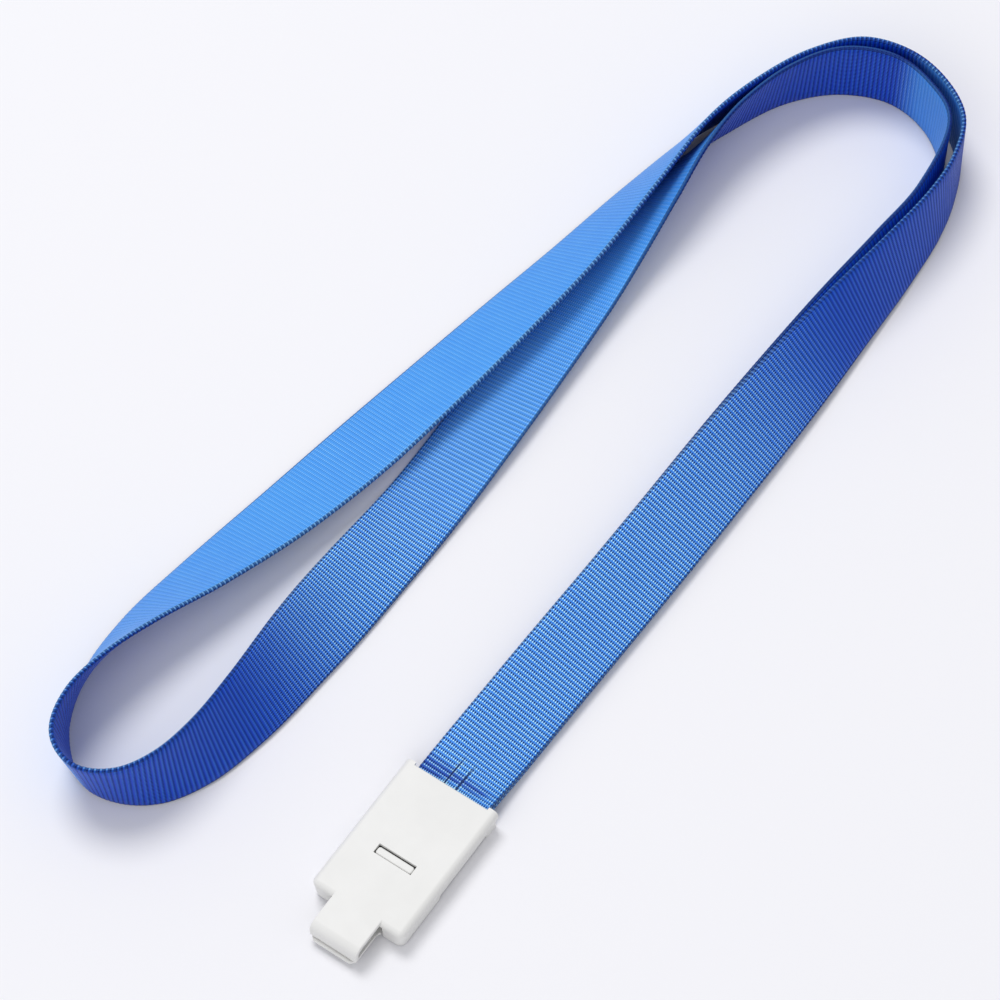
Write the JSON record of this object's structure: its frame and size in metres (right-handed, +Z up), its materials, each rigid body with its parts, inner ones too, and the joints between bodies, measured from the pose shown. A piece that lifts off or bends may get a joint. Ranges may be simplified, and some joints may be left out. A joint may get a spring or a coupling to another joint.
{
  "type": "lanyard badge holder",
  "caption": "Neck lanyard of ribbed woven strap, laid as a half-twisted loop, its ends held in a flat moulded clip with a hook and a sprung keeper for a badge.",
  "frame": {"origin": "under the middle of the clip, at the underside the clip rests on", "axes": "+Y from the clip's hook along the clip to its strap end, +X across the clip, +Z up out of the clip's top face"},
  "size_m": [0.084, 0.2257, 0.0163],
  "materials": {
    "woven_strap": "ribbed weave with a slight sheen",
    "clip_shell": "fine satin",
    "clip_inner": "fine satin",
    "pin_steel": "drawn wire"
  },
  "bodies": {
    "base": {"base_shell": "clip_shell", "strap": "woven_strap", "hinge_pin_left": "pin_steel", "hinge_pin_right": "pin_steel", "clamp_jaw": "clip_inner"},
    "cover": {"cover_shell": "clip_shell"},
    "keeper": {"keeper_leaf": "clip_shell"},
    "latch": {"latch_finger": "clip_inner"}
  },
  "joints": [
    {"name": "cover_hinge", "type": "hinge", "parent": "base", "child": "cover", "pos_m": [0, 0.015, 0.00395], "axis": [-1, 0, 0], "range_deg": [0, 60]},
    {"name": "keeper_flex", "type": "hinge", "parent": "base", "child": "keeper", "pos_m": [0, -0.0137, 0.00145], "axis": [1, 0, 0], "range_deg": [0, 5], "stiffness_Nm_per_rad": 0.2},
    {"name": "latch_flex", "type": "hinge", "parent": "base", "child": "latch", "pos_m": [0, -0.0025, 0.0013], "axis": [-1, 0, 0], "range_deg": [0, 3], "stiffness_Nm_per_rad": 0.15}
  ]
}
